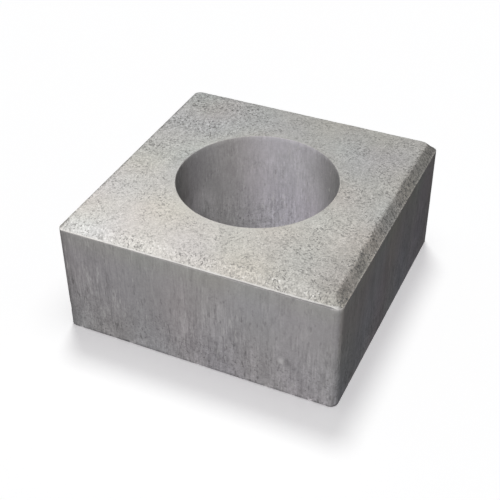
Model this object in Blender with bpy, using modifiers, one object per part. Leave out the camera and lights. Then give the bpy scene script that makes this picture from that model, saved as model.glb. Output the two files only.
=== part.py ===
"""Square concrete base block with a round hole through it for a post, pipe or column foot.

One cast piece: a square block with rounded upright corners, a slope round its top edge and a narrow
level ledge at the slope's foot, left by the play between the mould and the stamp that pressed the top.
Metres, +Z up. The origin is at the centre of the underside.
"""

import math

import bmesh
import bpy

# Driving sizes
SIDE = 0.300  # width and depth of the block
HEIGHT = 0.133  # underside to top face
HOLE_DIAMETER = 0.170  # straight round hole, top to bottom
CORNER_RADIUS = 0.008  # rounding of the upright corners
LEDGE_WIDTH = 0.001  # level ledge at the foot of the slope
SLOPE_RUN = 0.0075  # how far the slope goes in, level
SLOPE_DROP = 0.009  # how far the slope comes down, upright

# Smoothness of the round shapes
CORNER_SEGMENTS = 8
HOLE_SEGMENTS = 144
SMOOTH_ANGLE = math.radians(30)
LEVEL_TOLERANCE = 1e-6  # an edge whose ends differ less than this in height is level

# Colour and finish of the dry concrete
CONCRETE_COLOR = (0.40, 0.39, 0.38, 1.0)
CONCRETE_ROUGHNESS = 0.92

LEDGE_HEIGHT = HEIGHT - SLOPE_DROP


def clear_scene():
    for scene_object in list(bpy.data.objects):
        bpy.data.objects.remove(scene_object, do_unlink=True)


def new_collection(name):
    collection = bpy.data.collections.new(name)
    bpy.context.scene.collection.children.link(collection)
    return collection


def move_to(collection, scene_object):
    for old in list(scene_object.users_collection):
        old.objects.unlink(scene_object)
    collection.objects.link(scene_object)


def concrete_material():
    material = bpy.data.materials.new("concrete")
    material.use_nodes = True
    shader = material.node_tree.nodes["Principled BSDF"]
    shader.inputs["Base Color"].default_value = CONCRETE_COLOR
    shader.inputs["Roughness"].default_value = CONCRETE_ROUGHNESS
    shader.inputs["Metallic"].default_value = 0.0
    material.diffuse_color = CONCRETE_COLOR
    return material


def add_square_box(name, width, height, base):
    """A square box standing with its lower face at the height base, its scale applied."""
    bpy.ops.mesh.primitive_cube_add(size=1, location=(0, 0, base + height / 2))
    box = bpy.context.active_object
    box.name = name
    box.scale = (width, width, height)
    bpy.ops.object.transform_apply(location=True, rotation=False, scale=True)
    return box


def raise_slope(box):
    """Pulls the box's top face up and in, which leaves a slope on all four sides."""
    mesh = bmesh.new()
    mesh.from_mesh(box.data)
    top = max(mesh.faces, key=lambda face: face.calc_center_median().z)
    pulled = bmesh.ops.extrude_face_region(mesh, geom=[top])
    bmesh.ops.delete(mesh, geom=[top], context="FACES_ONLY")
    for vertex in pulled["geom"]:
        if isinstance(vertex, bmesh.types.BMVert):
            vertex.co.x -= math.copysign(SLOPE_RUN, vertex.co.x)
            vertex.co.y -= math.copysign(SLOPE_RUN, vertex.co.y)
            vertex.co.z += SLOPE_DROP
    bmesh.ops.recalc_face_normals(mesh, faces=mesh.faces)
    mesh.to_mesh(box.data)
    mesh.free()


def round_corners(box, radius):
    """Rounds every edge that isn't level: the upright ones, and those between two slopes."""
    mesh = bmesh.new()
    mesh.from_mesh(box.data)
    weights = mesh.edges.layers.float.new("bevel_weight_edge")
    for edge in mesh.edges:
        low, high = sorted(vertex.co.z for vertex in edge.verts)
        edge[weights] = 1.0 if high - low > LEVEL_TOLERANCE else 0.0
    mesh.to_mesh(box.data)
    mesh.free()
    bevel = box.modifiers.new("rounded corners", "BEVEL")
    bevel.limit_method = "WEIGHT"
    bevel.width = radius
    bevel.segments = CORNER_SEGMENTS


def combine(target, tool, operation):
    boolean = target.modifiers.new(operation.lower() + " " + tool.name, "BOOLEAN")
    boolean.operation = operation
    boolean.solver = "EXACT"
    boolean.object = tool


def make_cap():
    """The pressed top: a neck that reaches halfway down inside the block, and the slope and top face."""
    neck = LEDGE_HEIGHT / 2
    cap = add_square_box("pressed_top", SIDE - 2 * LEDGE_WIDTH, neck, LEDGE_HEIGHT - neck)
    raise_slope(cap)
    round_corners(cap, CORNER_RADIUS - LEDGE_WIDTH)
    return cap


def make_hole_cutter():
    """A cylinder twice as tall as the block, so that it runs well past both faces."""
    bpy.ops.mesh.primitive_cylinder_add(
        vertices=HOLE_SEGMENTS,
        radius=HOLE_DIAMETER / 2,
        depth=2 * HEIGHT,
        location=(0, 0, HEIGHT / 2),
    )
    cutter = bpy.context.active_object
    cutter.name = "hole_cutter"
    return cutter


def make_block(cap, hole_cutter):
    block = add_square_box("concrete_block", SIDE, LEDGE_HEIGHT, 0)
    round_corners(block, CORNER_RADIUS)
    combine(block, cap, "UNION")
    combine(block, hole_cutter, "DIFFERENCE")
    block.data.materials.append(concrete_material())
    block.data.shade_smooth()
    block.data.set_sharp_from_angle(angle=SMOOTH_ANGLE)
    return block


def main():
    clear_scene()
    parts = new_collection("column base block")
    cutters = new_collection("cutters")
    cap = make_cap()
    hole_cutter = make_hole_cutter()
    for tool in (cap, hole_cutter):
        move_to(cutters, tool)
        tool.hide_render = True
        tool.display_type = "WIRE"
    move_to(parts, make_block(cap, hole_cutter))


main()
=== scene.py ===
# Looks of the square concrete base block with the round hole: cast relief, dry concrete, studio.
# Metres, +Z up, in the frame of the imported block. Lengths named with Mm are in millimetres.

import math

import bpy
import numpy as np
from mathutils import Matrix, Vector, noise


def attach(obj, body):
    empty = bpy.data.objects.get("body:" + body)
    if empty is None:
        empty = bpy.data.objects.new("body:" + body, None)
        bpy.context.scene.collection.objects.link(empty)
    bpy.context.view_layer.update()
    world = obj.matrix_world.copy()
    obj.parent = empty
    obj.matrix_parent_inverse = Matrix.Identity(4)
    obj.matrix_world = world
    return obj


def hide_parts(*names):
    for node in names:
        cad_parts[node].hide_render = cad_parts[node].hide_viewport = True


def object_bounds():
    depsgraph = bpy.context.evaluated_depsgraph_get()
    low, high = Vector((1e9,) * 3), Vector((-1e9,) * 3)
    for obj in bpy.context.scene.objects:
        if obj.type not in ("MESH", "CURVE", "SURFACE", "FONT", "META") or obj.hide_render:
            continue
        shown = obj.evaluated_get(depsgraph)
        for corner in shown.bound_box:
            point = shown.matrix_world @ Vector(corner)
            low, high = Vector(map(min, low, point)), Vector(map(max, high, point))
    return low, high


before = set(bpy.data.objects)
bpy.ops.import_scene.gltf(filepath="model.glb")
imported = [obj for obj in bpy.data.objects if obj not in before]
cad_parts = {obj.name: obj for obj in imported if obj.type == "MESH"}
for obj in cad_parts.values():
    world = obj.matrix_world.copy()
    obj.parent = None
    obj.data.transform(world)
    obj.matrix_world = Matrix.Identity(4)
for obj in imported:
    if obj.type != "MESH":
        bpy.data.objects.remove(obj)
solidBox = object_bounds()
print("frame loaded")

scene = bpy.context.scene
mm = 0.001


# Small helpers

def eased(value, start, end):
    # 0 at start, 1 at end, with soft shoulders
    share = min(1.0, max(0.0, (value - start) / (end - start)))
    return share * share * (3 - 2 * share)


def softNoise(x, y, z):
    # smooth noise from 0 to 1
    return min(1.0, max(0.0, 0.5 + 0.62 * noise.noise(Vector((x, y, z)))))


def steps(start, end, count, tight=0.0):
    # count numbers from start to end; tight 1 packs them towards both ends
    shares = np.linspace(0.0, 1.0, count)
    shares = (1 - tight) * shares + tight * (0.5 - 0.5 * np.cos(np.pi * shares))
    return start + (end - start) * shares


# The cast block

block = {
    "halfSideMm": round(solidBox[1][0] / mm, 3),  # as the solid's
    "heightMm": round(solidBox[1][2] / mm, 3),
    "holeRadiusMm": 85.0,
    "cornerRadiusMm": 8.0,
    "capCornerRadiusMm": 7.55,  # corners of the pressed cap
    "ledgeMm": 1.0,
    "slopeRunMm": 7.5,
    "slopeDropMm": 9.0,
    "rimRoundMm": 0.4,  # worn round of the hole's rims
    "arrisRoundMm": 0.35,  # worn round of the long arrises
    "pointsAround": 900,
    "rings": {"under": 10, "side": 27, "top": 38, "hole": 17},
    "slopeRings": (0.04, 0.14, 0.3, 0.46, 0.62, 0.76, 0.87, 0.95),  # shares of the way up the slope
    "sideFadeMm": 26.0,  # length over which one side's values pass into the next side's
    "creaseWobbleMm": 2.2,  # how unevenly the slope's top edge runs
    "wobbleShare": {"all": 0.25, "right": 0.6, "front": 0.3},
    "creaseShiftMm": {"all": -0.6, "right": 1.2, "front": 0.4},  # how much further in that edge lies
    "creaseNoise": ((20.0, 3.1, 0.7), (8.0, 8.4, 0.3)),  # size in mm, seed, share
    "ledgeWobbleMm": 0.7,
    "leastLedgeMm": 0.3,
    "ledgeNoise": ((21.0, 5.7, 0.6), (5.0, 2.2, 0.4)),
    "nickMm": 0.7,  # deepest nick in the arris above the sides
    "nickNoise": ((3.4, 6.6, 1.0),),
    "tipWearMm": 1.3,  # wear of the ledge's corner at the front right
    "tipReachMm": 9.0,
    "tipNarrowMm": 0.8,  # how much narrower the ledge is near that corner
    "tipNarrowReachMm": 16.0,
    "relief": {
        "grainMm": 0.16,  # height of the pressed grain
        "pitMm": 0.45,  # depth of the pits in the pressed face
        "dragMm": 0.16,  # depth of the drag marks on the moulded sides
        "dragPitMm": 0.45,
        "mottleMm": 0.2,
        "boardGrainMm": 0.12,
        "swellMm": 0.18,  # broad unevenness of every face
        "slopeFootMm": (138.5, 141.5),  # the slope beyond this is calmer
        "slopeCalm": 0.6,
        "rimCalmMm": (2.0, 11.0),  # and so is the strip round the hole
        "rimLeast": 0.3,
        "markedMm": (5.0, 20.0),  # below the ledge, where the drag marks begin and are full
        "markedLeast": 0.25,
        "lowMm": (62.0, 12.0),  # heights where the rougher foot of the sides begins and is full
        "coarseShare": 0.6,
        "narrowShare": 0.55,
        "patchSpan": (0.45, 0.9),  # the calmest patches' grain, and how much more the loudest have
        "topSkinMm": 0.1,  # unevenness that the solid's face cuts off
        "sideSkinMm": 0.14,
        # share of the cells with a pit, from -1 for none to 1 for all, and what is added low down
        "topPits": -0.1,
        "sidePits": (-0.45, 0.35),
        "sidePitLeast": 0.6,  # share of their depth that the side pits keep higher up
        "boardPits": -0.3,
        "pitReach": (0.22, 0.25),  # the smallest pit's, and how much more the widest has
        # layers of noise: level size in mm, upright size in mm, seed
        "topSwell": (55.0, 55.0, 1.3),
        "topPatch": (22.0, 22.0, 4.8),
        "coarseGrain": (3.1, 3.1, 2.5),
        "fineGrain": (1.5, 1.5, 7.9),
        "topPit": (6.5, 6.5, 12.5),
        "sideSwell": (60.0, 60.0, 3.3),
        "narrowDrag": (2.6, 42.0, 0.0),
        "wideDrag": (7.0, 95.0, 9.0),
        "sideMottle": (6.0, 9.0, 17.0),
        "sidePit": (5.5, 17.0, 31.5),
        "boardSwell": (50.0, 50.0, 21.3),
        "boardGrain": (4.0, 4.0, 23.7),
        "boardPit": (9.0, 9.0, 44.5),
        "smallLumpAtMm": (93.0, 40.5),  # a small lump on the front face, sideways and up
        "smallLumpMm": 3.2,
    },
}


def outlineStations(count, half, radius):
    # equally spaced stations round a rounded square: quarter turn, share of the straight, angle in the bend
    straight = 2 * (half - radius)
    bend = radius * math.pi / 2
    along = np.arange(count) / count * 4 * (straight + bend)
    quarter = np.floor(along / (straight + bend)).astype(int)
    rest = along - quarter * (straight + bend)
    share = np.clip(rest / straight, 0, 1)
    angle = np.clip((rest - straight) / radius, 0, math.pi / 2)
    return quarter, share, angle


def outline(stations, half, radius):
    # points of a rounded square at those stations; half may differ from station to station
    quarter, share, angle = stations
    centre = half - radius
    x = -centre + 2 * centre * share + radius * np.sin(angle)
    y = -centre - radius * np.cos(angle)
    turnCos = np.round(np.cos(quarter * math.pi / 2))
    turnSin = np.round(np.sin(quarter * math.pi / 2))
    return np.stack([x * turnCos - y * turnSin, x * turnSin + y * turnCos], 1)


def alongNoise(points, layers):
    # noise from 0 to 1 that changes along an outline
    total = 0.0
    for sizeMm, seed, share in layers:
        total = total + share * np.array([softNoise(x / sizeMm, y / sizeMm, seed) for x, y in points])
    return total


def blockRings():
    # rings of the closed skin, from the hole's lower rim out, up, in and down the hole: (kind, points)
    b = block
    half = b["halfSideMm"]
    top = b["heightMm"]
    ledgeZ = top - b["slopeDropMm"]
    hole = b["holeRadiusMm"]
    rim = b["rimRoundMm"]
    arris = b["arrisRoundMm"]
    counts = b["rings"]
    stations = outlineStations(b["pointsAround"], half, b["cornerRadiusMm"])
    body = outline(stations, half, b["cornerRadiusMm"])
    toHole = body / np.linalg.norm(body, axis=1)[:, None]

    def level(inset, z):
        radius = np.interp(inset, [0.0, b["ledgeMm"]], [b["cornerRadiusMm"], b["capCornerRadiusMm"]])
        return np.column_stack([outline(stations, half - inset, radius), np.full(len(body), 0.0) + z])

    def circle(radius, z):
        return np.column_stack([toHole * radius, np.full(len(body), z)])

    def between(inner, outer, share):
        return inner + (outer - inner) * share

    right = np.clip(0.5 + (body[:, 0] - np.abs(body[:, 1])) / b["sideFadeMm"], 0, 1)
    front = np.clip(0.5 - (body[:, 1] + np.abs(body[:, 0])) / b["sideFadeMm"], 0, 1)

    def bySide(values):
        return values["all"] + values["right"] * right + values["front"] * front

    # insets of the slope's top edge and foot
    uneven = bySide(b["wobbleShare"]) * np.clip(1.8 * alongNoise(body, b["creaseNoise"]) - 0.4, 0, 1)
    crease = b["ledgeMm"] + b["slopeRunMm"] + bySide(b["creaseShiftMm"]) + b["creaseWobbleMm"] * uneven
    foot = b["ledgeMm"] + 2 * b["ledgeWobbleMm"] * (alongNoise(body, b["ledgeNoise"]) - 0.5)
    toTip = np.hypot(body[:, 0] - half, body[:, 1] + half)
    foot -= b["tipNarrowMm"] * np.clip(1 - toTip / b["tipNarrowReachMm"], 0, 1)
    # wear of the arris: nicks all round, and the worn corner
    worn = b["tipWearMm"] * np.clip(1.3 - toTip / b["tipReachMm"], 0, 1)
    nick = b["nickMm"] * np.clip(3.2 * alongNoise(body, b["nickNoise"]) - 2.1, 0, 1) ** 1.5
    foot = np.maximum(foot, b["leastLedgeMm"] + 1.2 * worn)
    run = crease - foot

    midRound = 0.3  # share of a worn round's size at which its middle ring lies
    rings = []
    lowRim = circle(hole + rim, 0.0)
    lowEdge = level(arris, 0.0)
    for share in steps(0.0, 1.0, counts["under"], 0.8):
        rings.append(("under", between(lowRim, lowEdge, share)))
    rings.append(("side", level(midRound * arris, midRound * arris)))
    for z in steps(arris, ledgeZ - 1.4, counts["side"], 0.35):
        rings.append(("side", level(0.0, z)))
    # over the arris on to the ledge
    rings.append(("side", level(0.25 * nick + 0.25 * worn, ledgeZ - 0.7)))
    rings.append(("side", level(0.05 + 0.6 * nick + 0.7 * worn, ledgeZ - 0.25)))
    rings.append(("cap", level(0.25 + nick + worn, ledgeZ - 0.03 - 0.3 * nick)))
    rings.append(("cap", level(np.maximum(foot - 0.15, 0.3 + nick + worn), ledgeZ)))
    for share in b["slopeRings"]:
        rings.append(("cap", level(foot + run * share, ledgeZ + b["slopeDropMm"] * share)))
    # round the slope's top edge on to the top
    rings.append(("cap", level(crease + 0.3, top - 0.1)))
    rings.append(("cap", level(crease + 1.2, top)))
    topEdge = level(crease + 2.2, top)
    highRim = circle(hole + rim, top)
    for share in steps(0.0, 1.0, counts["top"], 0.45):
        rings.append(("cap", between(topEdge, highRim, share)))
    rings.append(("bore", circle(hole + midRound * rim, top - midRound * rim)))
    for z in steps(top - rim, rim, counts["hole"], 0.5):
        rings.append(("bore", circle(hole, z)))
    rings.append(("bore", circle(hole + midRound * rim, midRound * rim)))
    return rings


def layerPoint(x, y, z, layer):
    level, upright, seed = block["relief"][layer]
    return x / level, y / level, z / upright + seed


def layerNoise(x, y, z, layer):
    # one layer's noise, from 0 to 1
    return softNoise(*layerPoint(x, y, z, layer))


def pitAt(x, y, z, layer, amount):
    # depth from 0 to 1 of scattered pits, one to a cell
    distances, centres = noise.voronoi(Vector(layerPoint(x, y, z, layer)))
    if noise.cell(centres[0] * 3.7) > amount:
        return 0.0
    least, more = block["relief"]["pitReach"]
    reach = least + more * (0.5 + 0.5 * noise.cell(centres[0] * 5.3 + Vector((9, 4, 7))))
    return max(0.0, 1 - (distances[0] / reach) ** 2)


def grown(least, share):
    # from least at share 0 to 1 at share 1
    return least + (1 - least) * share


def pressedDepth(x, y):
    # how deep the pressed face lies under the solid's face, and how much of it is pit
    r = block["relief"]
    calm = grown(r["rimLeast"], eased(math.hypot(x, y) - block["holeRadiusMm"], *r["rimCalmMm"]))
    calm *= 1 - r["slopeCalm"] * eased(max(abs(x), abs(y)), *r["slopeFootMm"])
    swell = layerNoise(x, y, 0.0, "topSwell") * r["swellMm"]
    least, more = r["patchSpan"]
    patch = least + more * layerNoise(x, y, 0.0, "topPatch")
    coarse = layerNoise(x, y, 0.0, "coarseGrain") * r["coarseShare"]
    fine = layerNoise(x, y, 0.0, "fineGrain") * (1 - r["coarseShare"])
    grain = (coarse + fine) * r["grainMm"]
    pit = pitAt(x, y, 0.0, "topPit", r["topPits"]) * patch * calm
    return max(0.0, swell + grain * calm * patch - r["topSkinMm"]) + pit * r["pitMm"], pit


def mouldedDepth(x, y, z):
    # the same for the sides and the hole's wall, which the mould dragged upwards
    r = block["relief"]
    ledgeZ = block["heightMm"] - block["slopeDropMm"]
    marked = grown(r["markedLeast"], eased(ledgeZ - z, *r["markedMm"]))
    low = eased(z, *r["lowMm"])
    swell = layerNoise(x, y, z, "sideSwell") * r["swellMm"]
    narrow = layerNoise(x, y, z, "narrowDrag") * r["narrowShare"]
    wide = layerNoise(x, y, z, "wideDrag") * (1 - r["narrowShare"])
    drag = (narrow + wide) * r["dragMm"]
    mottle = layerNoise(x, y, z, "sideMottle") * r["mottleMm"] * low
    everywhere, added = r["sidePits"]
    pit = pitAt(x, y, z, "sidePit", everywhere + added * low) * marked * grown(r["sidePitLeast"], low)
    return max(0.0, swell + drag * marked + mottle - r["sideSkinMm"]) + pit * r["dragPitMm"], pit


def plainDepth(x, y):
    # the underside, which took the print of the board it stood on
    r = block["relief"]
    swell = layerNoise(x, y, 0.0, "boardSwell") * r["swellMm"]
    grain = layerNoise(x, y, 0.0, "boardGrain") * r["boardGrainMm"]
    pit = pitAt(x, y, 0.0, "boardPit", r["boardPits"])
    return swell + grain + pit * r["pitMm"], pit


def smallLumpCut(x, y, z):
    # share of the relief that stays round the small lump on the front face, and the ring round it
    if y > -block["halfSideMm"] + 2:
        return 1.0, 0.0
    sideways, up = block["relief"]["smallLumpAtMm"]
    away = math.hypot(x - sideways, z - up) / block["relief"]["smallLumpMm"]
    return 1 - math.exp(-away * away), 0.6 * math.exp(-((away - 1.6) / 0.5) ** 2)


def buildBlock():
    rings = blockRings()
    kinds = [kind for kind, points in rings]
    nextKinds = kinds[1:] + kinds[:1]
    base = np.stack([points for kind, points in rings])
    ringCount, around = base.shape[:2]
    aroundStep = np.roll(base, -1, 1) - np.roll(base, 1, 1)
    ringStep = np.roll(base, -1, 0) - np.roll(base, 1, 0)
    outward = np.cross(aroundStep, ringStep)
    outward /= np.linalg.norm(outward, axis=2)[:, :, None]
    depth = np.zeros((ringCount, around))
    hollow = np.zeros((ringCount, around))
    for j, kind in enumerate(kinds):
        for i in range(around):
            x, y, z = base[j, i]
            if kind == "under":
                deep, pit = plainDepth(x, y)
            elif kind == "cap":
                deep, pit = pressedDepth(x, y)
            else:
                deep, pit = mouldedDepth(x, y, z)
                kept, ringCut = smallLumpCut(x, y, z)
                deep = deep * kept + ringCut
            depth[j, i] = deep
            hollow[j, i] = pit
    # the two rings where one finish meets the next share their mean depth
    for j in range(ringCount):
        if kinds[j] != nextKinds[j]:
            following = (j + 1) % ringCount
            shared = 0.5 * (depth[j] + depth[following])
            depth[j] = shared
            depth[following] = shared
    skin = (base - outward * depth[:, :, None]) * mm
    skin[:, :, 2] = np.maximum(skin[:, :, 2], 0.0)

    index = np.arange(ringCount * around).reshape(ringCount, around)
    nextRing = np.roll(index, -1, 0)
    quads = np.stack([index, np.roll(index, -1, 1), np.roll(nextRing, -1, 1), nextRing], 2).reshape(-1, 4)
    mesh = bpy.data.meshes.new("castBlock")
    mesh.from_pydata(skin.reshape(-1, 3).tolist(), [], quads.tolist())
    mesh.update()
    made = bpy.data.objects.new("castBlock", mesh)
    scene.collection.objects.link(made)
    mesh.shade_smooth()

    materialPlaces = {"cap": 0, "side": 1, "under": 2, "bore": 3}  # in the order of the finishes below
    finish = np.repeat([materialPlaces[kind] for kind in nextKinds], around)
    mesh.polygons.foreach_set("material_index", finish.astype(np.int32))
    marks = mesh.attributes.new("hollow", "FLOAT", "POINT")
    marks.data.foreach_set("value", hollow.astype(np.float32).ravel())
    return made


castBlock = buildBlock()
print("block skin built:", len(castBlock.data.polygons), "faces")


# Node helpers

def addNode(tree, kind, values=None, **settings):
    made = tree.nodes.new(kind)
    for name, value in settings.items():
        setattr(made, name, value)
    for name, value in (values or {}).items():
        made.inputs[name].default_value = value
    return made


def fill(tree, socket, value):
    # a number, a colour or another node's output goes into a socket
    if isinstance(value, (int, float, tuple)):
        socket.default_value = value
    else:
        tree.links.new(value, socket)


def mathNode(tree, kind, *values):
    made = addNode(tree, "ShaderNodeMath", operation=kind)
    for place, value in enumerate(values):
        fill(tree, made.inputs[place], value)
    return made.outputs[0]


def times(tree, result, *factors):
    for factor in factors:
        result = mathNode(tree, "MULTIPLY", result, factor)
    return result


def plus(tree, result, *terms):
    for term in terms:
        result = mathNode(tree, "ADD", result, term)
    return result


def minus(tree, value, taken):
    return mathNode(tree, "SUBTRACT", value, taken)


def larger(tree, a, b):
    return mathNode(tree, "MAXIMUM", a, b)


def remap(tree, value, span, ends=(0.0, 1.0)):
    # Map Range with soft shoulders: the first end at the span's start, the second at its end
    made = addNode(tree, "ShaderNodeMapRange", interpolation_type="SMOOTHSTEP")
    fill(tree, made.inputs["Value"], value)
    for name, number in zip(("From Min", "From Max", "To Min", "To Max"), (*span, *ends)):
        fill(tree, made.inputs[name], number)
    return made.outputs["Result"]


def fading(tree, mask, full, none=1.0):
    # a factor that is none outside a mask and full inside it
    return remap(tree, mask, (0.0, 1.0), (none, full))


def mixColors(tree, kind, share, a, b):
    made = addNode(tree, "ShaderNodeMix", data_type="RGBA", blend_type=kind)
    for place, value in ((0, share), (6, a), (7, b)):
        fill(tree, made.inputs[place], value)
    return made.outputs[2]


def shaded(tree, color, shade, share=1.0):
    return mixColors(tree, "MULTIPLY", share, color, shade)


def covered(tree, color, cover, share):
    return mixColors(tree, "MIX", share, color, cover)


def vectorNode(tree, kind, *values):
    made = addNode(tree, "ShaderNodeVectorMath", operation=kind)
    for place, value in enumerate(values):
        fill(tree, made.inputs[place], value)
    return made.outputs


def stretched(tree, vector, factors):
    return vectorNode(tree, "MULTIPLY", vector, factors)["Vector"]


def moved(tree, vector, shift):
    return vectorNode(tree, "ADD", vector, shift)["Vector"]


def splitVector(tree, vector):
    made = addNode(tree, "ShaderNodeSeparateXYZ")
    fill(tree, made.inputs[0], vector)
    return made.outputs


def cloudNoise(tree, vector, scale, detail, rough, lacunarity=2.0):
    made = addNode(tree, "ShaderNodeTexNoise", {
        "Detail": detail, "Roughness": rough, "Lacunarity": lacunarity})
    fill(tree, made.inputs["Vector"], vector)
    fill(tree, made.inputs["Scale"], scale)
    return made.outputs["Fac"]


def cellNoise(tree, vector, scale):
    # distance to the cell's middle, and three numbers drawn for the cell
    made = addNode(tree, "ShaderNodeTexVoronoi", {"Randomness": 1.0})
    fill(tree, made.inputs["Vector"], vector)
    fill(tree, made.inputs["Scale"], scale)
    luck = addNode(tree, "ShaderNodeSeparateColor")
    fill(tree, luck.inputs[0], made.outputs["Color"])
    return made.outputs["Distance"], luck.outputs


def newGroup(name, inputs, outputs):
    tree = bpy.data.node_groups.new(name, "ShaderNodeTree")
    for socket, kind, value in inputs:
        made = tree.interface.new_socket(name=socket, in_out="INPUT", socket_type="NodeSocket" + kind)
        if value is not None:
            made.default_value = value
    for socket, kind in outputs:
        tree.interface.new_socket(name=socket, in_out="OUTPUT", socket_type="NodeSocket" + kind)
    return tree, tree.nodes.new("NodeGroupInput"), tree.nodes.new("NodeGroupOutput")


def placeGroup(tree, group, vector, values):
    made = addNode(tree, "ShaderNodeGroup", node_tree=group)
    tree.links.new(vector, made.inputs["Position"])
    for name, value in values.items():
        made.inputs[name].default_value = value
    return made


# Sand grain: uneven grey of the sand, tiny pits, pale flecks, crinkles and the height for the bump

sandMix = {
    # noise layers: scale as a multiple of the grains per metre, detail, roughness
    "coarse": (0.25, 2.0, 0.7),
    "fine": (0.9, 2.0, 0.9),
    "crinkles": (0.36, 2.0, 0.6),
    "crinkleGaps": (0.5, 1.0, 0.5),
    "crinklePatches": (0.06, 1.0, 0.5),
    "lacunarity": 2.1,
    "coarseShare": 0.45,
    "fineShare": 1.0,
    "greyShare": 0.3,  # flat grey of single grains
    # cell layers: scale and place
    "greyCells": (1.15, (0.4, 0.9, 0.2)),
    "pitCells": (0.72, (0.13, 0.71, 0.37)),
    "fleckCells": (0.75, (0.57, 0.23, 0.91)),
    "pitReach": 0.62,
    "fleckReach": 0.7,
    "spotReach": (0.4, 0.6),  # of that reach: the smallest spot, and how much more the widest has
    "crinkleWidth": (0.055, 0.015),
    "gapSpan": (-0.02, 0.05),
    "patchSpan": (-0.12, 0.12),
    "patchLeast": 0.35,
}


def makeSandGrain():
    tree, gin, gout = newGroup(
        "sandGrain",
        [("Position", "Vector", None), ("Grains Per Metre", "Float", 600.0), ("Contrast", "Float", 0.3),
         ("Pits", "Float", 0.1), ("Flecks", "Float", 0.1), ("Crinkles", "Float", 0.5)],
        [("Shade", "Float"), ("Dark Mask", "Float"), ("Fleck Mask", "Float"), ("Height", "Float")])
    link = tree.links.new
    position = gin.outputs["Position"]
    size = gin.outputs["Grains Per Metre"]
    mix = sandMix

    def cloud(layer):
        scale, detail, rough = mix[layer]
        made = cloudNoise(tree, position, times(tree, size, scale), detail, rough, mix["lacunarity"])
        return minus(tree, made, 0.5)

    def cells(layer):
        scale, place = mix[layer]
        return cellNoise(tree, moved(tree, position, place), times(tree, size, scale))

    def scattered(layer, amount, reach):
        # round spots of uneven size in a share of the cells
        distance, luck = cells(layer)
        chosen = mathNode(tree, "LESS_THAN", luck[0], amount)
        least, more = mix["spotReach"]
        spotReach = plus(tree, times(tree, luck[1], more * reach), least * reach)
        return times(tree, chosen, remap(tree, distance, (spotReach, 0.0)))

    grey = minus(tree, cells("greyCells")[1][2], 0.5)
    mixed = plus(tree, times(tree, cloud("coarse"), mix["coarseShare"]),
                 times(tree, cloud("fine"), mix["fineShare"]), times(tree, grey, mix["greyShare"]))
    shade = plus(tree, times(tree, mixed, gin.outputs["Contrast"]), 1.0)
    pits = scattered("pitCells", gin.outputs["Pits"], mix["pitReach"])
    flecks = scattered("fleckCells", gin.outputs["Flecks"], mix["fleckReach"])
    line = remap(tree, mathNode(tree, "ABSOLUTE", cloud("crinkles")), mix["crinkleWidth"])
    broken = remap(tree, cloud("crinkleGaps"), mix["gapSpan"])
    patch = remap(tree, cloud("crinklePatches"), mix["patchSpan"], (mix["patchLeast"], 1.0))
    crinkle = times(tree, line, broken, patch, gin.outputs["Crinkles"])
    dark = larger(tree, pits, crinkle)
    link(shade, gout.inputs["Shade"])
    link(dark, gout.inputs["Dark Mask"])
    link(flecks, gout.inputs["Fleck Mask"])
    link(minus(tree, mixed, dark), gout.inputs["Height"])
    return tree


# Drag streaks: upright marks left as the mould slid off, with torn dark spots and pale scrapes

streakMix = {
    # noise layers: scale as a multiple of the streaks per metre, upright stretch, detail, roughness
    "fineLines": (1.6, 0.06, 2.0, 0.8),
    "longMarks": (0.8, 0.13, 2.0, 0.8),
    "shortMarks": (1.3, 0.30, 2.0, 0.75),
    "broad": (0.2, 0.12, 1.0, 0.5),
    "quiet": (0.07, 0.7, 1.0, 0.5),
    "torn": (0.70, 0.38, 2.5, 0.7),
    "gate": (0.11, 0.6, 1.0, 0.5),
    "scrapes": (0.9, 0.2, 2.0, 0.7),
    "mottle": (0.36, 0.6, 2.0, 0.65),
    "shares": {"longMarks": 0.35, "shortMarks": 0.4, "fineLines": 0.72},
    "broadShare": 0.3,
    "quietSpan": (0.36, 0.62),
    "quietEnds": (0.45, 1.15),
    "tornSpan": (0.57, 0.72),
    "tornShare": 0.75,
    "gateSpan": (0.38, 0.58),
    "gateEnds": (0.4, 1.0),
    "scrapeSpan": (0.42, 0.30),
    # short upright ticks, each with a pale rim just beside it
    "tickScale": 0.55,
    "tickStretch": 0.28,
    "tickAmount": 0.5,
    "tickReach": (0.14, 0.2),  # the smallest tick's, and how much more the widest has
    "tickCore": 0.45,
    "tickShare": 0.55,
    "tickPlace": (0.31, 0.12, 0.23),
    "rimPlace": (0.3089, 0.1189, 0.23),
}


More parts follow.
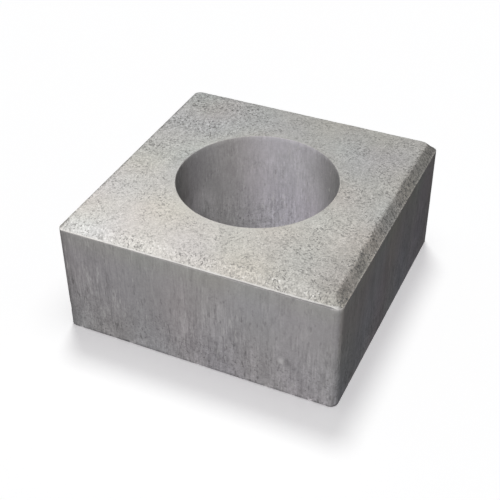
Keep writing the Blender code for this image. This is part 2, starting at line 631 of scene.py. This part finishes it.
def makeDragStreaks():
    tree, gin, gout = newGroup(
        "dragStreaks",
        [("Position", "Vector", None), ("Streaks Per Metre", "Float", 300.0), ("Contrast", "Float", 0.2),
         ("Tears", "Float", 0.5)],
        [("Shade", "Float"), ("Tear Mask", "Float"), ("Scrape Mask", "Float"), ("Mottle", "Float"),
         ("Height", "Float")])
    link = tree.links.new
    position = gin.outputs["Position"]
    size = gin.outputs["Streaks Per Metre"]
    mix = streakMix

    def drawn(layer):
        # noise pulled upwards
        scale, stretch, detail, rough = mix[layer]
        pulled = stretched(tree, position, (1.0, 1.0, stretch))
        return cloudNoise(tree, pulled, times(tree, size, scale), detail, rough)

    def ticks(place):
        # short upright marks in a share of the cells
        pulled = stretched(tree, moved(tree, position, place), (1.0, 1.0, mix["tickStretch"]))
        distance, luck = cellNoise(tree, pulled, times(tree, size, mix["tickScale"]))
        least, more = mix["tickReach"]
        reach = plus(tree, times(tree, luck[1], more), least)
        near = remap(tree, distance, (reach, times(tree, reach, mix["tickCore"])))
        return times(tree, mathNode(tree, "LESS_THAN", luck[0], mix["tickAmount"]), near)

    marks = [times(tree, minus(tree, drawn(layer), 0.5), share) for layer, share in mix["shares"].items()]
    quiet = remap(tree, drawn("quiet"), mix["quietSpan"], mix["quietEnds"])
    broad = minus(tree, drawn("broad"), 0.5)
    mixed = plus(tree, times(tree, plus(tree, *marks), quiet), times(tree, broad, mix["broadShare"]))
    shade = plus(tree, times(tree, mixed, gin.outputs["Contrast"]), 1.0)
    torn = times(tree, remap(tree, drawn("torn"), mix["tornSpan"]), mix["tornShare"])
    gate = remap(tree, drawn("gate"), mix["gateSpan"], mix["gateEnds"])
    tears = larger(tree, torn, times(tree, ticks(mix["tickPlace"]), mix["tickShare"]))
    tears = times(tree, tears, gate, gin.outputs["Tears"])
    scrapes = times(tree, remap(tree, drawn("scrapes"), mix["scrapeSpan"]), quiet)
    scrapes = larger(tree, scrapes, times(tree, ticks(mix["rimPlace"]), gate))
    link(shade, gout.inputs["Shade"])
    link(tears, gout.inputs["Tear Mask"])
    link(scrapes, gout.inputs["Scrape Mask"])
    link(minus(tree, drawn("mottle"), 0.5), gout.inputs["Mottle"])
    link(minus(tree, mixed, tears), gout.inputs["Height"])
    return tree


# Pale clouds: broad drift in brightness and a faint warm, cool, green or pink tinge

cloudMix = {
    # noise layers: place, scale as a multiple of the clouds per metre, detail
    "bright": ((0.31, 0.17, 0.05), 2.2, 3.0),
    "warm": ((0.83, 0.41, 0.29), 1.0, 0.0),
    "green": ((0.19, 0.93, 0.61), 1.0, 0.0),
    "roughness": 0.55,
}


def makePaleClouds():
    tree, gin, gout = newGroup(
        "paleClouds",
        [("Position", "Vector", None), ("Clouds Per Metre", "Float", 30.0), ("Drift", "Float", 0.05),
         ("Warmth", "Float", 0.03), ("Greenness", "Float", 0.015)],
        [("Tint", "Color")])
    link = tree.links.new

    def cloud(layer, strength):
        place, scale, detail = cloudMix[layer]
        size = times(tree, gin.outputs["Clouds Per Metre"], scale)
        shifted = moved(tree, gin.outputs["Position"], place)
        made = cloudNoise(tree, shifted, size, detail, cloudMix["roughness"])
        return times(tree, minus(tree, made, 0.5), gin.outputs[strength])

    bright = plus(tree, cloud("bright", "Drift"), 1.0)
    warm = cloud("warm", "Warmth")
    green = cloud("green", "Greenness")
    tint = addNode(tree, "ShaderNodeCombineColor")
    link(plus(tree, bright, warm), tint.inputs[0])
    link(plus(tree, bright, green), tint.inputs[1])
    link(minus(tree, bright, warm), tint.inputs[2])
    link(tint.outputs[0], gout.inputs["Tint"])
    return tree


sandGrain = makeSandGrain()
dragStreaks = makeDragStreaks()
paleClouds = makePaleClouds()


def newMaterial(name, look):
    made = bpy.data.materials.new(name)
    made.use_nodes = True
    shader = made.node_tree.nodes["Principled BSDF"]
    shader.inputs["Roughness"].default_value = look["roughness"]
    shader.inputs["Specular IOR Level"].default_value = look["specular"]
    place = addNode(made.node_tree, "ShaderNodeTexCoord").outputs["Object"]
    return made, made.node_tree, shader, place


def finishColor(tree, shader, color, heights, look):
    # colour to the shader, and the heights to its bump
    tree.links.new(color, shader.inputs["Base Color"])
    bump = addNode(tree, "ShaderNodeBump", {
        "Strength": look["bumpStrength"], "Distance": look["bumpMm"] * mm})
    tree.links.new(heights, bump.inputs["Height"])
    tree.links.new(bump.outputs["Normal"], shader.inputs["Normal"])


spotCore = 0.2  # share of a spot's reach where it is full


def softSpot(tree, place, look):
    # a soft round spot
    away = vectorNode(tree, "DISTANCE", place, look["at"])["Value"]
    span = (look["reach"], spotCore * look["reach"])
    return remap(tree, away, span, (0.0, look["strength"]))


def hollows(tree, share):
    # the pits that are in the mesh itself, whose colour the finishes darken as painted shade in the hollows
    made = addNode(tree, "ShaderNodeAttribute", attribute_name="hollow")
    return times(tree, made.outputs["Fac"], share)


pressed = {
    "roughness": 0.92,
    "specular": 0.25,
    "color": (0.494, 0.490, 0.477, 1.0),
    "pitColor": (0.17, 0.168, 0.165, 1.0),
    "fleckColor": (0.80, 0.80, 0.80, 1.0),
    "ledgeColor": (0.57, 0.565, 0.56, 1.0),
    # painted shade: the lip over the front arris faces the light more than the face below, and is darkened to
    # look as dark
    "lipPaintedShadeColor": (0.22, 0.215, 0.22, 1.0),
    # partly painted shade: the side slopes, which turn away from the light, are darkened; partly their more
    # open texture
    "sideSlopePaintedShade": (0.68, 0.665, 0.65, 1.0),  # the slopes at the two sides are darker
    # painted shade: the left slope, which faces away from the light, is darkened further
    "leftSlopePaintedShade": (0.61, 0.61, 0.62, 1.0),
    "leftShade": (0.992, 1.0, 1.012, 1.0),
    "backLeftShade": (0.99, 0.998, 1.01, 1.0),
    # painted light: the top is paler nearer the front, where more light falls
    "nearPaintedLight": (1.085, 1.062, 1.045, 1.0),  # the part nearer the front is paler
    "frontShade": (1.02, 1.025, 1.035, 1.0),  # the coarse front edge is paler and cooler
    # painted shade: the top is darker towards the front right, where less light falls
    "frontRightPaintedShade": 0.885,
    # painted shade: darker beside the right slope towards the front, where less light falls
    "besideSlopePaintedShade": 0.91,
    # painted shade: the front edge is darker from the middle rightwards, away from the near light
    "midFrontPaintedShade": 0.94,
    # two soft patches near the front right corner
    "dimPatch": {"at": (0.134, -0.131, 0.133), "reach": 0.026, "strength": 0.16},
    "palePatch": {"at": (0.116, -0.143, 0.128), "reach": 0.017, "strength": 0.30},
    "grain": {"Grains Per Metre": 620.0, "Contrast": 0.95, "Pits": 0.12, "Flecks": 0.16, "Crinkles": 1.0},
    "clouds": {"Clouds Per Metre": 17.0, "Drift": 0.16, "Warmth": 0.085, "Greenness": 0.07},
    "rimCalmShare": (0.4, 0.8),  # grain left round the hole, at the front and at the back
    "edgeShare": 0.3,
    "slopeRagged": -0.008,  # how far the grain carries the slope's colour over its top edge
    "slopeShift": -0.0018,
    "ledgeLean": 0.002,
    "lipLean": 0.0023,
    # how strongly the grain shows: most at the back left, least along the middle
    "grainAcross": (0.76, 0.98),
    "grainBackLeft": (-0.22, 0.55),
    "grainFront": 0.25,
    "grainSlope": 0.55,
    "fleckEdge": 0.35,
    "fleckGrain": 0.34,
    "fleckSlope": 0.55,
    "pitsByDepth": (0.98, 0.9),
    "pitsSlope": 1.5,
    "pitsFlat": 0.8,
    "hollowShare": 0.3,
    "hiddenSlopeLeast": 0.35,
    "bumpMm": 0.6,
    "bumpStrength": 0.6,
    # where each part of the pressed face starts and is full, in metres from the block's middle
    "spans": {
        "rimCalm": (0.087, 0.096),
        "rimByDepth": (-0.05, 0.06),
        "frontEdge": (-0.130, -0.144),
        "anyEdge": (0.120, 0.140),
        "diagonal": (-0.004, 0.004),
        "slopeTop": (0.1362, 0.1420),
        "leftHalf": (-0.01, 0.01),
        "ledgeTop": (0.1254, 0.1246),
        "lip": (0.1487, 0.1492),
        "hiddenSlope": (-0.1395, -0.1435),
        "hiddenSlopeDepth": (-0.147, -0.118),
        "near": (0.02, -0.125),
        "left": (0.03, -0.10),
        "frontRightAcross": (-0.05, 0.14),
        "frontRightDepth": (-0.03, -0.11),
        "besideAcross": (0.112, 0.130),
        "besideDepth": (0.02, -0.07),
        "backLeftAcross": (0.0, -0.08),
        "backLeftDepth": (0.0, 0.08),
        "midFront": (-0.06, 0.0),
        "grainAcross": (0.03, 0.08),
        "grainDepth": (-0.12, 0.12),
        "pitsDepth": (-0.02, 0.08),
    },
}


def makePressed():
    made, tree, shader, place = newMaterial("pressedConcrete", pressed)
    p = pressed
    grain = placeGroup(tree, sandGrain, place, p["grain"])
    clouds = placeGroup(tree, paleClouds, place, p["clouds"])
    x, y, z = splitVector(tree, place)

    def part(value, name, ends=(0.0, 1.0)):
        return remap(tree, value, p["spans"][name], ends)

    # smoother round the hole
    fromMiddle = vectorNode(tree, "LENGTH", stretched(tree, place, (1.0, 1.0, 0.0)))["Value"]
    calm = part(fromMiddle, "rimCalm", (part(y, "rimByDepth", p["rimCalmShare"]), 1.0))
    # the edges, the two side slopes, and the ledge and lip at the front and back
    acrossX = mathNode(tree, "ABSOLUTE", x)
    acrossY = mathNode(tree, "ABSOLUTE", y)
    front = part(y, "frontEdge")
    edge = larger(tree, part(larger(tree, acrossX, acrossY), "anyEdge", (0.0, p["edgeShare"])), front)
    sideways = part(minus(tree, acrossX, acrossY), "diagonal")
    ragged = times(tree, minus(tree, grain.outputs["Shade"], 1.0), p["slopeRagged"])
    reached = plus(tree, ragged, acrossX, part(x, "leftHalf", (p["slopeShift"], 0.0)))
    slope = times(tree, part(reached, "slopeTop"), sideways)
    # painted shade on the left slope, weaker towards the front left corner
    hiddenSlope = times(tree, slope, part(x, "hiddenSlope"),
                        part(y, "hiddenSlopeDepth", (p["hiddenSlopeLeast"], 1.0)))
    onFront = minus(tree, 1.0, sideways)
    ledge = times(tree, part(minus(tree, z, times(tree, x, p["ledgeLean"])), "ledgeTop"), onFront)
    lip = times(tree, part(plus(tree, acrossY, times(tree, x, p["lipLean"])), "lip"), onFront)
    # broad light and dark, much of it painted light and painted shade
    color = shaded(tree, p["color"], clouds.outputs["Tint"])
    # painted shade on the side slopes, partly their more open texture
    color = shaded(tree, color, p["sideSlopePaintedShade"], slope)
    color = shaded(tree, color, p["leftSlopePaintedShade"], hiddenSlope)
    color = shaded(tree, color, p["frontShade"], front)
    # painted light, paler nearer the front
    color = shaded(tree, color, p["nearPaintedLight"], part(y, "near"))
    color = shaded(tree, color, p["leftShade"], part(x, "left"))
    # painted shade, darker towards the front right
    frontRight = times(tree, part(x, "frontRightAcross"), part(y, "frontRightDepth"))
    color = shaded(tree, color, fading(tree, frontRight, p["frontRightPaintedShade"]))
    # painted shade beside the right slope
    beside = times(tree, part(x, "besideAcross"), part(y, "besideDepth"), minus(tree, 1.0, slope))
    color = shaded(tree, color, fading(tree, beside, p["besideSlopePaintedShade"]))
    color = covered(tree, color, p["pitColor"], softSpot(tree, place, p["dimPatch"]))
    color = covered(tree, color, p["ledgeColor"], softSpot(tree, place, p["palePatch"]))
    backLeft = times(tree, part(x, "backLeftAcross"), part(y, "backLeftDepth"))
    color = shaded(tree, color, p["backLeftShade"], backLeft)
    # painted shade on the front edge's middle and right
    midFront = times(tree, front, part(x, "midFront"))
    color = shaded(tree, color, fading(tree, midFront, p["midFrontPaintedShade"]))
    # grain, flecks and pits
    grainLeft = times(tree, part(x, "backLeftAcross"), part(y, "grainDepth", p["grainBackLeft"]))
    louder = plus(tree, part(acrossX, "grainAcross", p["grainAcross"]), grainLeft,
                  times(tree, front, p["grainFront"]), times(tree, slope, p["grainSlope"]))
    swing = times(tree, minus(tree, grain.outputs["Shade"], 1.0), calm, louder)
    color = shaded(tree, color, plus(tree, swing, 1.0))
    brighter = plus(tree, times(tree, edge, p["fleckEdge"]), times(tree, louder, p["fleckGrain"]))
    fleck = times(tree, grain.outputs["Fleck Mask"], calm, brighter, fading(tree, slope, p["fleckSlope"]))
    color = covered(tree, color, p["fleckColor"], fleck)
    dark = times(tree, grain.outputs["Dark Mask"], calm, part(y, "pitsDepth", p["pitsByDepth"]),
                 times(tree, louder, fading(tree, slope, p["pitsSlope"], p["pitsFlat"])))
    # painted shade in the mesh's pits, with the grain's pits
    dark = larger(tree, dark, hollows(tree, p["hollowShare"]))
    color = covered(tree, color, p["pitColor"], dark)
    color = covered(tree, color, p["ledgeColor"], ledge)
    # painted shade on the lip over the front arris
    color = covered(tree, color, p["lipPaintedShadeColor"], lip)
    finishColor(tree, shader, color, grain.outputs["Height"], p)
    return made


moulded = {
    "roughness": 0.9,
    "specular": 0.3,
    "topBandColor": (0.372, 0.366, 0.365, 1.0),
    "rightTopShade": (1.03, 1.01, 0.97, 1.0),
    "boreLowColor": (0.464, 0.447, 0.498, 1.0),
    # painted shade: the left part of the hole's wall faces away from the light
    "boreLeftPaintedShadeColor": (0.378, 0.366, 0.372, 1.0),
    # painted shade: the right part of the hole's wall, which the light only grazes, is much darker
    "boreRightPaintedShadeColor": (0.253, 0.249, 0.252, 1.0),
    # painted shade at the two ends of the hole's wall
    "boreEndPaintedShade": (0.805, 0.81, 0.765, 1.0),
    "tearColor": (0.13, 0.125, 0.13, 1.0),
    "scrapeColor": (0.52, 0.51, 0.52, 1.0),
    "streaks": {"Streaks Per Metre": 330.0, "Contrast": 1.2, "Tears": 1.0},
    "grain": {"Grains Per Metre": 520.0, "Contrast": 1.0, "Pits": 0.10, "Flecks": 0.06, "Crinkles": 0.5},
    "clouds": {"Clouds Per Metre": 19.0, "Drift": 0.2, "Greenness": 0.055},
    "cloudStretch": 0.5,
    # paler towards the right, as painted light, and towards the foot; dimmer at the left end and in the bend,
    # as painted shade where the faces turn away from the light
    "sideAcrossPaintedLight": (0.82, 1.01),
    "sideLeftEndPaintedShade": 0.72,
    "sideDown": (1.02, 1.14),
    "sideFoot": 1.10,
    "bendPaintedShade": 0.92,
    "boreDown": 1.06,
    "boreFoot": 1.38,
    "boreLean": 0.013,
    # painted shade: the sideways direction along which the ends of the hole's wall are darkened
    "boreAcross": (0.91, 0.414),  # how much x and y count on the way from left to right in the photograph
    "scrapes": 0.6,
    "mottle": 0.45,
    # shares everywhere, and what is added low down
    "grainShare": (0.25, 0.4),
    "tornShare": (0.75, 0.15),
    "pitShare": (0.1, 0.75),
    "hollowShare": 0.35,
    # painted highlight and painted shade on the two sides of the small lump
    "lumpPaintedHighlight": {"at": (0.0925, -0.150, 0.0405), "reach": 0.0055, "strength": 0.8},  # the small lump's
    "lumpPaintedShade": {"at": (0.0990, -0.150, 0.0405), "reach": 0.0065, "strength": 0.4},  # bright and dark sides
    "lumpHighlightColor": (0.60, 0.585, 0.60, 1.0),
    "bumpMm": 0.35,
    "bumpStrength": 0.6,
    # what differs between the sides and the hole's wall
    "faces": {
        "sides": {"name": "mouldedConcrete", "color": (0.372, 0.359, 0.377, 1.0), "markedTop": 0.5,
                  "stretch": 1.0, "warmth": 0.055, "harsh": 1.0},
        # the hole's wall is paler than the sides: partly painted light, partly its own bluer concrete
        "bore": {"name": "boreConcrete", "color": (0.461, 0.450, 0.490, 1.0), "markedTop": 0.7,
                 "stretch": 1.7, "warmth": 0.04, "harsh": 0.55},
    },
    # where each part of those faces starts and is full, in metres
    "spans": {
        "marked": (0.122, 0.055),
        "low": (0.075, 0.012),
        "topBand": (0.095, 0.122),
        "sideAcrossPaintedLight": (-0.15, 0.15),
        "sideLeftEndPaintedShade": (-0.130, -0.149),
        "sideDown": (0.122, 0.0),
        "sideFoot": (0.015, 0.002),
        "bendAcross": (0.126, 0.143),
        "bendDepth": (-0.140, -0.149),
        "rightFace": (0.147, 0.1495),
        "rightTop": (0.04, 0.10),
        "boreLow": (0.11, 0.05),
        "boreDown": (0.09, 0.04),
        "boreLeft": (-0.012, -0.066),
        "boreLeftEnd": (-0.068, -0.084),
        "boreRightEnd": (0.0785, 0.0848),
        "boreFoot": (0.100, 0.055),
        "boreFootAcross": (-0.066, -0.080),
        "boreLean": (0.055, 0.115),
        "boreRight": (0.024, 0.080),
    },
}


def makeMoulded(face):
    m = moulded
    f = m["faces"][face]
    made, tree, shader, place = newMaterial(f["name"], moulded)
    x, y, height = splitVector(tree, place)

    def part(value, name, ends=(0.0, 1.0)):
        return remap(tree, value, m["spans"][name], ends)

    def lowMore(shares, strength=1.0):
        # a share that grows low down
        everywhere, added = shares
        return plus(tree, times(tree, low, added * strength), everywhere * strength)

    marked = part(height, "marked", (f["markedTop"], 1.0))
    low = part(height, "low")
    streaks = placeGroup(tree, dragStreaks, stretched(tree, place, (1.0, 1.0, f["stretch"])), m["streaks"])
    grain = placeGroup(tree, sandGrain, place, m["grain"])
    clouds = placeGroup(tree, paleClouds, stretched(tree, place, (1.0, 1.0, m["cloudStretch"])),
                        {**m["clouds"], "Warmth": f["warmth"]})
    if face == "sides":
        base = covered(tree, f["color"], m["topBandColor"], part(height, "topBand"))
        # painted light towards the right, painted shade at the left end and in the bend at the front right
        bend = times(tree, part(x, "bendAcross"), part(y, "bendDepth"))
        paler = times(tree, part(x, "sideAcrossPaintedLight", m["sideAcrossPaintedLight"]),
                      part(x, "sideLeftEndPaintedShade", (1.0, m["sideLeftEndPaintedShade"])),
                      part(height, "sideDown", m["sideDown"]),
                      part(height, "sideFoot", (1.0, m["sideFoot"])),
                      fading(tree, bend, m["bendPaintedShade"]))
        base = shaded(tree, base, paler)
        rightFace = part(x, "rightFace")
        base = shaded(tree, base, clouds.outputs["Tint"], rightFace)  # the right side is the cloudiest
        base = shaded(tree, base, m["rightTopShade"], times(tree, rightFace, part(height, "rightTop")))
    else:
        base = covered(tree, f["color"], m["boreLowColor"], part(height, "boreLow"))
        base = shaded(tree, base, part(height, "boreDown", (1.0, m["boreDown"])))
        # painted shade on the left part of the wall
        base = covered(tree, base, m["boreLeftPaintedShadeColor"], part(x, "boreLeft"))
        # painted shade: the wall darkens towards its two ends, where the light grazes it; it is also paler
        # low down at the left
        toRight, toBack = m["boreAcross"]
        across = plus(tree, times(tree, x, toRight), times(tree, y, toBack))
        ends = larger(tree, part(across, "boreLeftEnd"), part(across, "boreRightEnd"))
        base = shaded(tree, base, m["boreEndPaintedShade"], ends)
        foot = times(tree, part(height, "boreFoot"), part(x, "boreFootAcross"))
        base = shaded(tree, base, fading(tree, foot, m["boreFoot"]))
        # painted shade on the right part of the wall, reaching further in higher up
        leaning = plus(tree, x, part(height, "boreLean", (0.0, m["boreLean"])))
        base = covered(tree, base, m["boreRightPaintedShadeColor"], part(leaning, "boreRight"))
    base = shaded(tree, base, clouds.outputs["Tint"])
    # drag marks, mottling low down and grain
    mottle = times(tree, streaks.outputs["Mottle"], times(tree, low, m["mottle"]))
    swing = plus(tree, times(tree, minus(tree, streaks.outputs["Shade"], 1.0), marked), mottle)
    base = shaded(tree, base, plus(tree, swing, 1.0))
    grainShare = lowMore(m["grainShare"])
    rough = times(tree, minus(tree, grain.outputs["Shade"], 1.0), grainShare)
    base = shaded(tree, base, plus(tree, rough, 1.0))
    scraped = times(tree, streaks.outputs["Scrape Mask"], m["scrapes"], marked)
    base = covered(tree, base, m["scrapeColor"], scraped)
    # torn spots and pits
    torn = times(tree, streaks.outputs["Tear Mask"], lowMore(m["tornShare"], f["harsh"]))
    pits = times(tree, grain.outputs["Dark Mask"], lowMore(m["pitShare"]))
    # painted shade in the mesh's pits, with the torn spots and pits
    dark = larger(tree, times(tree, larger(tree, torn, pits), marked), hollows(tree, m["hollowShare"]))
    base = covered(tree, base, m["tearColor"], dark)
    if face == "sides":
        # painted highlight and painted shade on the small lump's two sides
        base = covered(tree, base, m["lumpHighlightColor"], softSpot(tree, place, m["lumpPaintedHighlight"]))
        base = covered(tree, base, m["tearColor"], softSpot(tree, place, m["lumpPaintedShade"]))
    heights = plus(tree, streaks.outputs["Height"], times(tree, grain.outputs["Height"], grainShare))
    finishColor(tree, shader, base, times(tree, heights, marked), m)
    return made


underneath = {
    "roughness": 0.95,
    "specular": 0.2,
    "color": (0.36, 0.352, 0.34, 1.0),
    "pitColor": (0.15, 0.145, 0.14, 1.0),
    "grain": {"Grains Per Metre": 480.0, "Contrast": 0.9, "Pits": 0.12, "Flecks": 0.08, "Crinkles": 0.4},
    "clouds": {"Clouds Per Metre": 20.0, "Drift": 0.25, "Warmth": 0.04, "Greenness": 0.02},
    "hollowShare": 0.6,
    "bumpMm": 0.9,
    "bumpStrength": 0.5,
}


def makeUnderneath():
    made, tree, shader, place = newMaterial("boardConcrete", underneath)
    u = underneath
    grain = placeGroup(tree, sandGrain, place, u["grain"])
    clouds = placeGroup(tree, paleClouds, place, u["clouds"])
    color = shaded(tree, u["color"], clouds.outputs["Tint"])
    color = shaded(tree, color, grain.outputs["Shade"])
    # painted shade in the mesh's pits, with the grain's pits
    dark = larger(tree, grain.outputs["Dark Mask"], hollows(tree, u["hollowShare"]))
    color = covered(tree, color, u["pitColor"], dark)
    finishColor(tree, shader, color, grain.outputs["Height"], u)
    return made


for material in (makePressed(), makeMoulded("sides"), makeUnderneath(), makeMoulded("bore")):
    castBlock.data.materials.append(material)
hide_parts("concrete_block")
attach(castBlock, "root")
print("concrete finishes ready")


# Floor, which only the camera sees, so that it throws no light back on the block

floorLook = {
    "size": 40.0,
    "drop": 0.0004,  # just under the block
    "glow": 0.315,
    "glowColor": (1.012, 0.972, 1.014, 1.0),
    "color": (0.86, 0.875, 0.86, 1.0),
}


def makeFloor():
    half = floorLook["size"] / 2
    mesh = bpy.data.meshes.new("paleFloor")
    corners = [(-half, -half), (half, -half), (half, half), (-half, half)]
    mesh.from_pydata([(x, y, -floorLook["drop"]) for x, y in corners], [], [(0, 1, 2, 3)])
    made = bpy.data.objects.new("paleFloor", mesh)
    scene.collection.objects.link(made)
    look = bpy.data.materials.new("paleFloor")
    look.use_nodes = True
    tree = look.node_tree
    tree.nodes.remove(tree.nodes["Principled BSDF"])
    matte = addNode(tree, "ShaderNodeBsdfDiffuse", {"Color": floorLook["color"]})
    glow = addNode(tree, "ShaderNodeEmission", {
        "Color": floorLook["glowColor"], "Strength": floorLook["glow"]})
    both = addNode(tree, "ShaderNodeAddShader")
    clear = addNode(tree, "ShaderNodeBsdfTransparent")
    side = addNode(tree, "ShaderNodeNewGeometry")
    pick = addNode(tree, "ShaderNodeMixShader")
    link = tree.links.new
    link(matte.outputs[0], both.inputs[0])
    link(glow.outputs[0], both.inputs[1])
    link(side.outputs["Backfacing"], pick.inputs[0])
    link(both.outputs[0], pick.inputs[1])
    link(clear.outputs[0], pick.inputs[2])
    link(pick.outputs[0], tree.nodes["Material Output"].inputs["Surface"])
    mesh.materials.append(look)
    made.visible_diffuse = False
    made.visible_glossy = False
    made.visible_shadow = False
    return made


paleFloor = makeFloor()


# Lights: soft lamps for the block alone, two wide suns for the floor alone, and a faint sky

lamps = {
    "frontLamp": {"at": (0.0, -1.028, 1.286), "size": 0.4, "watts": 12.3, "color": (1.0, 0.985, 0.96)},
    "frontRightLamp": {"at": (0.514, -0.891, 1.286), "size": 0.4, "watts": 7.1, "color": (0.995, 1.0, 0.985)},
    "nearLamp": {"at": (-0.30, -0.45, 0.70), "size": 0.3, "watts": 1.9, "color": (1.0, 0.97, 0.92),
                 "aim": (-0.30, -0.45, 0.0)},
    "lowRightLamp": {"at": (0.9, -0.9, 0.3), "size": 0.5, "watts": 0.48, "color": (1.0, 1.0, 1.0)},
    "backLamp": {"at": (0.0, 1.31, 0.978), "size": 0.4, "watts": 2.2, "color": (0.98, 0.99, 1.0)},
    "overLamp": {"at": (-0.15, -0.15, 0.45), "size": 0.3, "watts": 0.28, "color": (1.0, 0.97, 0.92),
                 "aim": (-0.15, -0.15, 0.0)},
    "hiddenSideLamp": {"at": (-1.2, 1.2, 0.06), "size": 0.5, "watts": 8.5, "color": (1.0, 1.0, 1.0)},
    "underLamp": {"at": (0.0, 0.0, -2.0), "size": 0.3, "watts": 6.5, "color": (1.0, 1.0, 1.0)},
}
studio = {
    "aim": (0.0, 0.0, 0.06),  # of the lamps that state none
    "sky": 0.10,
    "skyColor": (0.97, 0.98, 1.0, 1.0),
    # suns that light the floor alone: degrees they lean, their spread in degrees, their strength
    "floorSuns": {"floorOver": ((0.0, 6.0), 40.0, 0.93), "floorBehind": ((-19.5, -11.0), 15.0, 1.34)},
}


def makeLamps():
    onBlock = bpy.data.collections.new("lit by the lamps")
    onBlock.objects.link(castBlock)
    for name, look in lamps.items():
        light = bpy.data.lights.new(name, "AREA")
        light.shape = "DISK"
        light.size = look["size"]
        light.energy = look["watts"]
        light.color = look["color"]
        made = bpy.data.objects.new(name, light)
        scene.collection.objects.link(made)
        made.location = look["at"]
        toAim = Vector(look.get("aim", studio["aim"])) - Vector(look["at"])
        made.rotation_mode = "QUATERNION"
        made.rotation_quaternion = toAim.to_track_quat("-Z", "Y")
        made.visible_camera = False
        made.light_linking.receiver_collection = onBlock
    onFloor = bpy.data.collections.new("lit by the suns")
    onFloor.objects.link(paleFloor)
    for name, (turns, spread, strength) in studio["floorSuns"].items():
        sun = bpy.data.lights.new(name, "SUN")
        sun.energy = strength
        sun.angle = math.radians(spread)
        made = bpy.data.objects.new(name, sun)
        scene.collection.objects.link(made)
        made.rotation_euler = [math.radians(turn) for turn in turns] + [0.0]
        made.light_linking.receiver_collection = onFloor


def makeSky():
    world = bpy.data.worlds.new("studioSky")
    scene.world = world
    world.use_nodes = True
    tree = world.node_tree
    dim = tree.nodes["Background"]
    dim.inputs["Color"].default_value = studio["skyColor"]
    dim.inputs["Strength"].default_value = studio["sky"]
    white = addNode(tree, "ShaderNodeBackground", {"Color": (1, 1, 1, 1), "Strength": 1.0})
    path = addNode(tree, "ShaderNodeLightPath")
    pick = addNode(tree, "ShaderNodeMixShader")
    tree.links.new(path.outputs["Is Camera Ray"], pick.inputs[0])
    tree.links.new(dim.outputs[0], pick.inputs[1])
    tree.links.new(white.outputs[0], pick.inputs[2])
    tree.links.new(pick.outputs[0], tree.nodes["World Output"].inputs["Surface"])


makeLamps()
makeSky()
print("lights and floor ready")


# Camera, at the photograph's viewing angle

view = {
    "at": (0.36368, -0.80180, 0.72007),
    "aim": (0.00334, -0.02665, 0.0600),
    "rollDegrees": 0.387,
    "lens": 73.30,
    "sensorWidth": 36.0,
}


def makeCamera():
    data = bpy.data.cameras.new("mainCamera")
    data.sensor_width = view["sensorWidth"]
    data.lens = view["lens"]
    made = bpy.data.objects.new("mainCamera", data)
    scene.collection.objects.link(made)
    made.location = view["at"]
    facing = (Vector(view["aim"]) - Vector(view["at"])).to_track_quat("-Z", "Y")
    made.rotation_mode = "QUATERNION"
    roll = Matrix.Rotation(-math.radians(view["rollDegrees"]), 3, "Z").to_quaternion()
    made.rotation_quaternion = facing @ roll
    scene.camera = made


makeCamera()
scene.view_settings.view_transform = "Standard"
print("camera ready")
